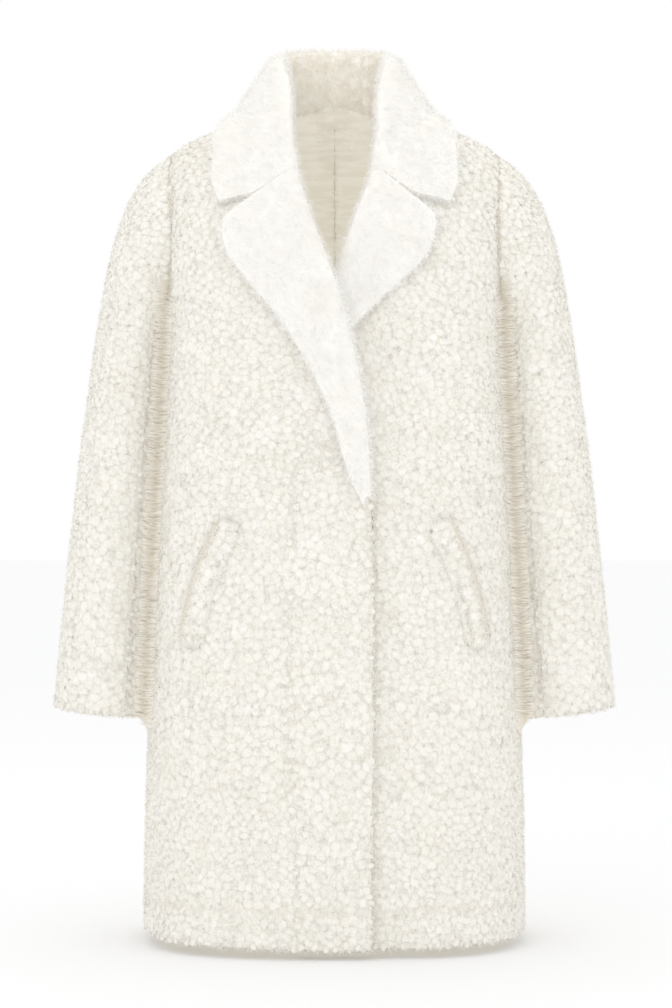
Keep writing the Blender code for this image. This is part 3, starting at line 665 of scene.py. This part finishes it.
# Which of the scene's settings say how a pile looks
PILE_SETTINGS = {"curly_pile": "coat_pile", "trim_pile": "coat_trim", "fringe": "coat_fringe"}
PILE_SURFACE = {
    "Roughness": 0.95, "Sheen Weight": 0.15, "Sheen Roughness": 0.6, "Specular IOR Level": 0.1,
}
PATCHES = Noise(22.0, 2.0)  # where the pile is warmer
PATCH_ENDS = (0.35, 0.7)
TINT_ENDS = (0.4, 1.0)  # tufts and hairs of more tint than the first are warmer too
PAINTED_SHADE_ENDS = (0.1, 0.85)  # painted shade: from the colour deep in the pile to the one on top
CRACK_ENDS = (0.16, 0.0)  # how near a curl's edge the painted shade of its crack begins and is darkest
FADING = Noise(90.0, 2.0)  # where the painted crack shade fades
FADE_ENDS = (0.40, 0.62)
CURL_STRETCH = (0.85, 0.85, 1.25)
WANDER_SCALE = 0.8  # how fine a curl's edge wanders
WANDER_DETAIL = 3.0
FIBRES = Noise(420.0, 3.0, (1.0, 1.0, 0.6))
FIBRE_RELIEF = 0.0014

BACKING_SURFACE = {"Roughness": 0.9, "Sheen Weight": 0.15, "Specular IOR Level": 0.2}
CRINKLE = Noise(38.0, 5.0, (1.0, 1.0, 5.0))
CRINKLE_ENDS = (0.42, 0.6)
CRINKLE_STRENGTH = 0.6
CRINKLE_RELIEF = 0.0012
NAP_GRAIN = Noise(650.0, 3.0)
NAP_ENDS = (0.3, 0.5)

FLOOR_SURFACE = {"Roughness": 0.8, "Specular IOR Level": 0.1}
FLOOR_DIMMER = 0.995
FLOOR_GLOW = 0.04
HAZE = Noise(0.6, 1.0)
WHITE = (1.0, 1.0, 1.0, 1.0)


def curl_edges(tree, size):
    """How far it is to the edge of a curl, as a share of its size, with wandering edges."""
    place = node(tree, "ShaderNodeTexCoord", {}, "Object")
    sockets = {"Vector": place, "Scale": WANDER_SCALE / size, "Detail": WANDER_DETAIL}
    wander = node(tree, "ShaderNodeTexNoise", sockets, "Color")
    sockets = {0: wander, 1: (size, size, size), 2: place}
    place = node(tree, "ShaderNodeVectorMath", sockets, "Vector", operation="MULTIPLY_ADD")
    place = node(tree, "ShaderNodeMapping", {"Vector": place, "Scale": CURL_STRETCH}, "Vector")
    sockets = {"Vector": place, "Scale": 1 / size}
    return node(tree, "ShaderNodeTexVoronoi", sockets, "Distance", feature="DISTANCE_TO_EDGE")


def crack_shade(tree, pile):
    """Painted shade in the cracks between curls: how dark, with some places where it fades."""
    cracks = ranged(tree, curl_edges(tree, pile.curl_size), CRACK_ENDS)
    shown = ranged(tree, object_noise(tree, FADING), FADE_ENDS)
    return joined(tree, "MULTIPLY", joined(tree, "MULTIPLY", cracks, shown), pile.cracks)


def pile_material(name):
    """Pile: painted shade, darker and warmer, down between the tufts and curls; a fine fibre relief.

    A faint glow of its own is painted light, for light that goes through the pile and comes back
    out of it. Hairs are too thin to show curls and relief, so theirs has neither.
    """
    pile = getattr(bpy.context.scene, PILE_SETTINGS[name.removesuffix(HAIRS)])
    # the glow, in the warm colour, is painted light
    material, tree, shader = new_material(name, PILE_SURFACE, pile.warm, pile.glow)
    patches = ranged(tree, object_noise(tree, PATCHES), PATCH_ENDS)
    tints = ranged(tree, attribute_value(tree, "tint"), TINT_ENDS)
    surface = mixed(tree, joined(tree, "MAXIMUM", patches, tints), pile.top, pile.warm)
    # painted shade, from each point's depth
    shown = ranged(tree, attribute_value(tree, "depth"), PAINTED_SHADE_ENDS)
    if not name.endswith(HAIRS):
        shown = joined(tree, "SUBTRACT", shown, crack_shade(tree, pile))
        bump(tree, shader, object_noise(tree, FIBRES), pile.relief, FIBRE_RELIEF)
    tree.links.new(mixed(tree, shown, pile.deep, surface), shader.inputs["Base Color"])
    return material


def backing_material():
    """Smooth knitted backing with a short nap, crinkled in fine level lines with painted shade."""
    cloth = bpy.context.scene.coat_backing
    # its glow is painted light
    material, tree, shader = new_material("backing", BACKING_SURFACE, cloth.light, cloth.glow)
    crinkle = object_noise(tree, CRINKLE)
    # painted shade in the crinkles, from the same noise as their relief
    crinkled = mixed(tree, ranged(tree, crinkle, CRINKLE_ENDS), cloth.dark, cloth.pale)
    nap = ranged(tree, object_noise(tree, NAP_GRAIN), NAP_ENDS)
    tree.links.new(mixed(tree, nap, cloth.nap, crinkled), shader.inputs["Base Color"])
    bump(tree, shader, crinkle, CRINKLE_STRENGTH, CRINKLE_RELIEF)
    return material


def floor_material(pale):
    """An even floor of that pale colour, hardly dimmer in broad patches."""
    material, tree, shader = new_material("floor", FLOOR_SURFACE, WHITE, FLOOR_GLOW)
    dimmer = tuple(channel * FLOOR_DIMMER for channel in pale[:3]) + (1.0,)
    colour = mixed(tree, object_noise(tree, HAZE), pale, dimmer)
    tree.links.new(colour, shader.inputs["Base Color"])
    return material


def material_named(name):
    """The material of that name, made when it's first asked for."""
    if name not in MADE:
        MADE[name] = backing_material() if name == "backing" else pile_material(name)
    return MADE[name]


# ---- settings
class PileSettings(bpy.types.PropertyGroup):
    """How a pile cloth is made up."""

    spacing: bpy.props.FloatProperty(
        name="Spacing", description="Least distance between two tufts", default=0.0072, unit="LENGTH"
    )
    radius: bpy.props.FloatProperty(
        name="Radius", description="Most that a tuft reaches from its middle",
        default=0.0082, unit="LENGTH",
    )
    depth: bpy.props.FloatProperty(
        name="Depth", description="How deep the pile is over the backing",
        default=0.0008, unit="LENGTH",
    )
    stand_out: bpy.props.FloatProperty(
        name="Stand out", description="How far tufts stand over the form",
        default=0.0010, unit="LENGTH",
    )
    lean: bpy.props.FloatProperty(
        name="Lean", description="How much higher a tuft is on the side the pile is combed to",
        default=0.5, subtype="FACTOR",
    )
    curled: bpy.props.BoolProperty(
        name="Curled", description="Whether the pile stands in curled tufts", default=True
    )
    unrest: bpy.props.FloatProperty(
        name="Unrest", description="How differently tufts are turned to the light",
        default=0.7, subtype="FACTOR",
    )
    sideways: bpy.props.FloatProperty(
        name="Sideways", description="How far the pile is combed outwards",
        default=0.0, subtype="FACTOR",
    )
    hairs: bpy.props.FloatProperty(
        name="Hairs", description="Single hairs on a square centimetre",
        default=26.0, subtype="UNSIGNED",
    )
    hair_length: bpy.props.FloatProperty(
        name="Hair length", description="Length of a hair", default=0.0062, unit="LENGTH"
    )
    hair_width: bpy.props.FloatProperty(
        name="Hair width", description="Width of a hair", default=0.00085, unit="LENGTH"
    )
    # deep: painted shade down between the tufts and curls, and also the random darker tone of hairs
    deep: bpy.props.FloatVectorProperty(
        name="Deep", description="Colour deep between the tufts",
        default=(0.815, 0.77, 0.68, 1.0), size=4, min=0.0, max=1.0, subtype="COLOR",
    )
    top: bpy.props.FloatVectorProperty(
        name="Top", description="Colour on top of the pile",
        default=(0.905, 0.89, 0.845, 1.0), size=4, min=0.0, max=1.0, subtype="COLOR",
    )
    # warm: a warmer tone in random patches, and the colour of the glow, which is painted light
    warm: bpy.props.FloatVectorProperty(
        name="Warm", description="Colour on top where it is warmer, and of the glow",
        default=(0.89, 0.87, 0.81, 1.0), size=4, min=0.0, max=1.0, subtype="COLOR",
    )
    # painted light: the pile's faint glow of its own
    glow: bpy.props.FloatProperty(
        name="Glow", description="How much light comes back out of the pile",
        default=0.075, subtype="FACTOR",
    )
    curl_size: bpy.props.FloatProperty(
        name="Curl size", description="Size of the fine curls on tufts",
        default=0.0050, unit="LENGTH",
    )
    # painted shade: how dark the cracks between curls are painted
    cracks: bpy.props.FloatProperty(
        name="Cracks", description="How dark the cracks between curls are",
        default=0.4, subtype="FACTOR",
    )
    relief: bpy.props.FloatProperty(
        name="Relief", description="How strong the relief of the fibres is",
        default=0.5, subtype="FACTOR",
    )


class BackingSettings(bpy.types.PropertyGroup):
    """The colours of the knitted backing, its painted shade and its painted light."""

    pale: bpy.props.FloatVectorProperty(
        name="Pale", description="Colour of the cloth between its crinkles",
        default=(0.86, 0.84, 0.785, 1.0), size=4, min=0.0, max=1.0, subtype="COLOR",
    )
    # painted shade in the crinkles
    dark: bpy.props.FloatVectorProperty(
        name="Dark", description="Colour of the cloth in its crinkles",
        default=(0.785, 0.758, 0.69, 1.0), size=4, min=0.0, max=1.0, subtype="COLOR",
    )
    nap: bpy.props.FloatVectorProperty(
        name="Nap", description="Colour of the specks between the nap",
        default=(0.765, 0.738, 0.672, 1.0), size=4, min=0.0, max=1.0, subtype="COLOR",
    )
    # painted light: colour of the backing's glow
    light: bpy.props.FloatVectorProperty(
        name="Light", description="Colour of the light that comes through the cloth",
        default=(0.85, 0.82, 0.76, 1.0), size=4, min=0.0, max=1.0, subtype="COLOR",
    )
    # painted light: how strongly the backing glows
    glow: bpy.props.FloatProperty(
        name="Glow", description="How much light comes through the cloth",
        default=0.21, subtype="FACTOR",
    )


class StudioSettings(bpy.types.PropertyGroup):
    """Where the camera stands, and how bright the studio and its floor are."""

    distance: bpy.props.FloatProperty(
        name="Distance", description="From the camera to the coat's middle",
        default=3.0, unit="LENGTH",
    )
    aim_height: bpy.props.FloatProperty(
        name="Aim height", description="Height the camera stands at and looks at",
        default=-0.437, unit="LENGTH",
    )
    aim_across: bpy.props.FloatProperty(
        name="Aim across", description="Where the camera looks, across",
        default=0.0016, unit="LENGTH",
    )
    lens: bpy.props.FloatProperty(
        name="Lens", description="Focal length of the camera", default=97.4, unit="CAMERA"
    )
    floor_height: bpy.props.FloatProperty(
        name="Floor height", description="Height of the studio's floor",
        default=-0.913, unit="LENGTH",
    )
    sky: bpy.props.FloatProperty(
        name="Sky", description="Brightness of the studio all round",
        default=1.0, subtype="FACTOR",
    )
    key: bpy.props.FloatProperty(
        name="Key", description="Power of the main lamp", default=6.0, unit="POWER"
    )
    floor_colour: bpy.props.FloatVectorProperty(
        name="Floor colour", description="Colour of the studio's floor",
        default=(0.922, 0.924, 0.930, 1.0), size=4, min=0.0, max=1.0, subtype="COLOR",
    )


# What the trim's pile has in place of the defaults: it's combed out and whiter. Its deep colour
# gives hairs a random darker tone and paints shade, most in the neck; its cracks paint shade and
# its glow is painted light
TRIM_PILE = {
    "curled": False,
    "depth": 0.0004,
    "stand_out": 0.0003,
    "sideways": 0.7,
    "hairs": 60.0,
    "hair_width": 0.0005,
    "hair_length": 0.0085,
    "deep": (0.84, 0.79, 0.68, 1.0),
    "top": (0.95, 0.945, 0.93, 1.0),
    "warm": (0.94, 0.93, 0.905, 1.0),
    "glow": 0.115,
    "curl_size": 0.0036,
    "cracks": 0.3,
    "relief": 0.4,
}

# How the hairs that reach into a gap look in place of the defaults: a darker deep colour, painted
# shade deep in the gap, and a stronger glow, painted light on them
FRINGE_PILE = {
    "deep": (0.70, 0.645, 0.54, 1.0),
    "top": (0.92, 0.90, 0.85, 1.0),
    "warm": (0.90, 0.87, 0.81, 1.0),
    "glow": 0.16,
}


# ---- planning the tufts
def pile_of(context, name):
    """The settings of the pile that a piece has."""
    return context.scene.coat_trim if name in TRIM else context.scene.coat_pile


def tuft_places(cloth, pile, tree, random, taken):
    """Where a piece's tufts stand: where no other piece covers it, clear of those in taken."""
    welt = cloth.name in WELTS
    candidates = scatter(cloth, CANDIDATES / pile.spacing**2, random, ~cloth.inside)
    chosen = pick(candidates, thin_out(candidates, pile.spacing, random, {} if welt else taken))
    cover = COVER_TUFT["trim" if cloth.name in TRIM else "other"]
    room = clearance(chosen.points, chosen.normals, tree, cover)
    deep = chosen.sink > LEAST_SINK if welt else True
    return pick(chosen, (room >= cover) & deep)


def plan(context):
    """Reads all pieces and chooses where their tufts stand, each clear of its neighbours'.

    The trim has places too. They carry no tufts, but limit how far those beside them reach.
    """
    tree = solids_tree(sorted(CUTS))
    cloths, places, taken = {}, {}, {}
    for index, name in enumerate(BODY + SLEEVES + TRIM + WELTS):
        random = np.random.default_rng(SEED + index)
        pile = pile_of(context, name)
        cloths[name] = read_cloth(name, pile.depth)
        places[name] = tuft_places(cloths[name], pile, tree, random, taken)
    points = np.vstack([chosen.points for chosen in places.values()])
    stands = KDTree(len(points))
    for index, point in enumerate(points):
        stands.insert(Vector(point), index)
    stands.balance()
    PLAN.update(
        solids=tree, body=solids_tree(BODY), sleeves=solids_tree(SLEEVES),
        cloths=cloths, places=places, tree=stands,
        normals=np.vstack([chosen.normals for chosen in places.values()]),
        slits=[slit for name in WELTS for slit in slit_lines(cloths[name].points)],
    )


# ---- hairs over gaps and seams
def ways_across(places, tree):
    """From each place to the nearest point of the other pieces, where it is near; else none."""
    ways = np.zeros_like(places.points)
    for index, point in enumerate(places.points):
        nearest, _, _, distance = tree.find_nearest(Vector(point), GAP_REACH)
        if nearest is not None and distance > GAP_LEAST:
            ways[index] = np.array(nearest) - point
    lift = np.einsum("ij,ij->i", unit(ways), places.normals)
    return ways * (lift > GAP_LEAN)[:, None]


def welt_frame(points):
    """A welt's middle, its two ways, along it and towards the coat's front edge, and its bend."""
    middle = points.mean(axis=0)
    along = unit(np.linalg.svd(points - middle, full_matrices=False)[2][0])
    inwards = np.cross(along, (0.0, 1.0, 0.0))
    inwards = unit(inwards * -np.sign(inwards[0] * middle[0]))
    offsets = points - middle
    return middle, along, inwards, np.polyfit(offsets @ along, offsets @ inwards, 2)


def welt_offsets(points):
    """How far points are from a welt's middle line, along it and towards the front edge."""
    middle, along, inwards, bend = welt_frame(points)
    up = (points - middle) @ along
    return up, (points - middle) @ inwards - np.polyval(bend, up)


def slit_lines(points):
    """The pocket's slit in two stretches, on the welt's edge away from the front edge."""
    middle, along, inwards, bend = welt_frame(points)
    up, aside = welt_offsets(points)
    ups = np.array([up.max(), 0.0, up.min()])
    stops = middle + np.outer(ups, along) + np.outer(np.polyval(bend, ups) + aside.min(), inwards)
    return [(stops[0], stops[1]), (stops[1], stops[2])]


def ways_off(places):
    """Out over a welt's edges: over its seams with its front, and less far over the slit."""
    ways = np.zeros_like(places.points)
    _, along, inwards, _ = welt_frame(places.points)
    up, aside = welt_offsets(places.points)
    edges = ((-SLIT_HAIR * inwards, -aside), (inwards, aside), (along, up), (-along, -up))
    for way, reach in edges:
        near = reach > reach.max() - WELT_SEAM
        ways[near] = way * WELT_HAIR - places.normals[near] * WELT_HAIR * WELT_DIP
    return ways


def uncovered(cloth, places):
    """Those places that have room over them for a hair."""
    room = COVER_HAIR["trim" if cloth.name in TRIM else "other"]
    return pick(places, clearance(places.points, places.normals, PLAN["solids"], room) >= room)


def gap_hairs(cloth, random):
    """Where long hairs stand by a gap or a welt's seam, and the way that each has over it."""
    density = WELT_HAIRS if cloth.name in WELTS else GAP_HAIRS
    places = uncovered(cloth, scatter(cloth, density * PER_CM2, random, ~cloth.inside))
    if cloth.name in WELTS:
        ways = ways_off(places)
    else:
        ways = ways_across(places, PLAN["sleeves" if cloth.name in BODY else "body"])
    reaching = ways.any(axis=1)
    return pick(places, reaching), ways[reaching]


def seam_nap(cloth, pile, random):
    """Short nap on the inside of a back that lies over the seam in its middle."""
    nap = scatter(cloth, NAP_HAIRS * PER_CM2, random, cloth.inside)
    seam = np.where(nap.points[:, 2] > NAP_WIDE_FROM, NAP_WIDE, NAP_REACH)
    nap = pick(nap, np.abs(nap.points[:, 0]) < seam)
    ways = np.zeros_like(nap.points)
    ways[:, 0] = -np.sign(nap.points[:, 0]) * 2 * NAP_REACH
    ways += nap.normals * NAP_LIFT
    return fuzz(f"{cloth.name}_nap", nap, pile, material_named("backing"), random, ways)


# ---- dressing the pieces
def pile_layers(cloth, pile, slot, random):
    """The pile of one piece: fuzz, fringe and, where it is curled, tufts."""
    name = cloth.name
    hairs = uncovered(cloth, scatter(cloth, pile.hairs * PER_CM2, random, ~cloth.inside))
    layers = [fuzz(f"{name}_fuzz", hairs, pile, material_named(slot + HAIRS), random)]
    reaching, ways = gap_hairs(cloth, random)
    in_gap = name in BODY + SLEEVES
    over = material_named(("fringe" if in_gap else slot) + HAIRS)
    # painted shade on the tips of hairs deep in a gap
    tip_light = GAP_TIP_SHADE if in_gap else 1.0
    layers.append(fuzz(f"{name}_fringe", reaching, pile, over, random, ways, tip_light))
    if pile.curled:
        places = PLAN["places"][name]
        layers.append(tufts(f"{name}_tufts", places, pile, material_named(slot), random))
    return layers


def pile_piece(context, name, slot):
    """Backing and pile in place of one node."""
    if not PLAN:
        plan(context)
    pile = pile_of(context, name)
    random = np.random.default_rng(SEED + sum(name.encode()))
    cloth = PLAN["cloths"][name]
    parts = SHELL_PARTS["body" if name in BODY else "other"]
    backing = shell(cloth, parts, material_named("backing"), material_named(slot))
    added = [(layer, slot) for layer in pile_layers(cloth, pile, slot, random)]
    if name.startswith("back"):
        added.append((seam_nap(cloth, pile, random), "backing"))
    for piece, piece_slot in [(backing, "backing")] + added:
        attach(piece, "root")
    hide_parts(name)


class COAT_OT_body(bpy.types.Operator):
    """Dress the fronts and backs in curly pile"""

    bl_idname = "coat.body"
    bl_label = "Body"

    def execute(self, context):
        for name in BODY:
            pile_piece(context, name, "curly_pile")
        return {"FINISHED"}


class COAT_OT_sleeves(bpy.types.Operator):
    """Dress the sleeves in curly pile"""

    bl_idname = "coat.sleeves"
    bl_label = "Sleeves"

    def execute(self, context):
        for name in SLEEVES:
            pile_piece(context, name, "curly_pile")
        return {"FINISHED"}


class COAT_OT_trim(bpy.types.Operator):
    """Dress the collar and lapels in combed-out pile"""

    bl_idname = "coat.trim"
    bl_label = "Collar and lapels"

    def execute(self, context):
        for name in TRIM:
            pile_piece(context, name, "trim_pile")
        return {"FINISHED"}


class COAT_OT_welts(bpy.types.Operator):
    """Dress the pocket welts in curly pile"""

    bl_idname = "coat.welts"
    bl_label = "Pocket welts"

    def execute(self, context):
        for name in WELTS:
            pile_piece(context, name, "curly_pile")
        return {"FINISHED"}


# ---- the stage
VIEW_END = 50.0
FLOOR_SIZE = 40
LAMP_AIM = Vector((0, 0, -0.45))
Lamp = namedtuple("Lamp", "place size share")  # share is how much of the key's power it has
LAMPS = {
    "key": Lamp(place=(-1.3, -2.4, 1.4), size=1.6, share=1.0),
    "fill": Lamp(place=(1.8, -2.2, 0.4), size=1.8, share=0.35),
    "top": Lamp(place=(0.0, 0.3, 2.0), size=2.2, share=0.7),
}


def placed(name, data, place):
    """A new object of that data in the scene."""
    item = bpy.data.objects.new(name, data)
    item.location = place
    bpy.context.scene.collection.objects.link(item)
    return item


def add_camera(scene, studio):
    """A camera in front of the coat that looks level at it."""
    camera = bpy.data.cameras.new("camera")
    camera.lens = studio.lens
    camera.clip_end = VIEW_END
    place = (studio.aim_across, -studio.distance, studio.aim_height)
    scene.camera = placed("camera", camera, place)
    scene.camera.rotation_euler = (math.radians(90), 0, 0)


def add_lights(scene, studio):
    """White light from all round, and lamps above and beside the camera and over the coat."""
    world = bpy.data.worlds.new("studio")
    world.use_nodes = True
    background = world.node_tree.nodes["Background"]
    background.inputs["Color"].default_value = WHITE
    background.inputs["Strength"].default_value = studio.sky
    scene.world = world
    for name, lamp in LAMPS.items():
        light = bpy.data.lights.new(name, "AREA")
        light.size = lamp.size
        light.energy = studio.key * lamp.share
        aim = LAMP_AIM - Vector(lamp.place)
        placed(name, light, lamp.place).rotation_euler = aim.to_track_quat("-Z", "Y").to_euler()


class COAT_OT_stage(bpy.types.Operator):
    """Set up the camera, the lamps and the pale floor"""

    bl_idname = "coat.stage"
    bl_label = "Stage"

    def execute(self, context):
        scene, studio = context.scene, context.scene.coat_studio
        add_camera(scene, studio)
        bpy.ops.mesh.primitive_plane_add(size=FLOOR_SIZE, location=(0, 0, studio.floor_height))
        floor = context.object
        floor.name = "floor"
        floor.data.materials.append(floor_material(studio.floor_colour))
        add_lights(scene, studio)
        scene.view_settings.view_transform = "Standard"
        return {"FINISHED"}


# ---- the add-on
class COAT_PT_panel(bpy.types.Panel):
    """The coat's steps, in order"""

    bl_idname = "COAT_PT_panel"
    bl_label = "Faux fur coat"
    bl_space_type = "VIEW_3D"
    bl_region_type = "UI"
    bl_category = "Coat"

    def draw(self, context):
        for operator in OPERATORS:
            self.layout.operator(operator.bl_idname)


OPERATORS = (COAT_OT_stage, COAT_OT_body, COAT_OT_sleeves, COAT_OT_trim, COAT_OT_welts)
CLASSES = (PileSettings, BackingSettings, StudioSettings) + OPERATORS + (COAT_PT_panel,)
SETTINGS = {
    "coat_pile": PileSettings,
    "coat_trim": PileSettings,
    "coat_fringe": PileSettings,
    "coat_backing": BackingSettings,
    "coat_studio": StudioSettings,
}


def register():
    """Adds the classes, and the settings to the scene."""
    for item in CLASSES:
        bpy.utils.register_class(item)
    for name, group in SETTINGS.items():
        setattr(bpy.types.Scene, name, bpy.props.PointerProperty(type=group))


def unregister():
    """Takes away what register adds."""
    for name in SETTINGS:
        delattr(bpy.types.Scene, name)
    for item in reversed(CLASSES):
        bpy.utils.unregister_class(item)


def main():
    """Sets how trim and fringe differ, then builds the stage and each group of pieces."""
    register()
    scene = bpy.context.scene
    for pile, settings in ((scene.coat_trim, TRIM_PILE), (scene.coat_fringe, FRINGE_PILE)):
        for setting, value in settings.items():
            setattr(pile, setting, value)
    bpy.ops.coat.stage()
    bpy.ops.coat.body()
    bpy.ops.coat.sleeves()
    bpy.ops.coat.trim()
    bpy.ops.coat.welts()


if __name__ == "__main__":
    main()
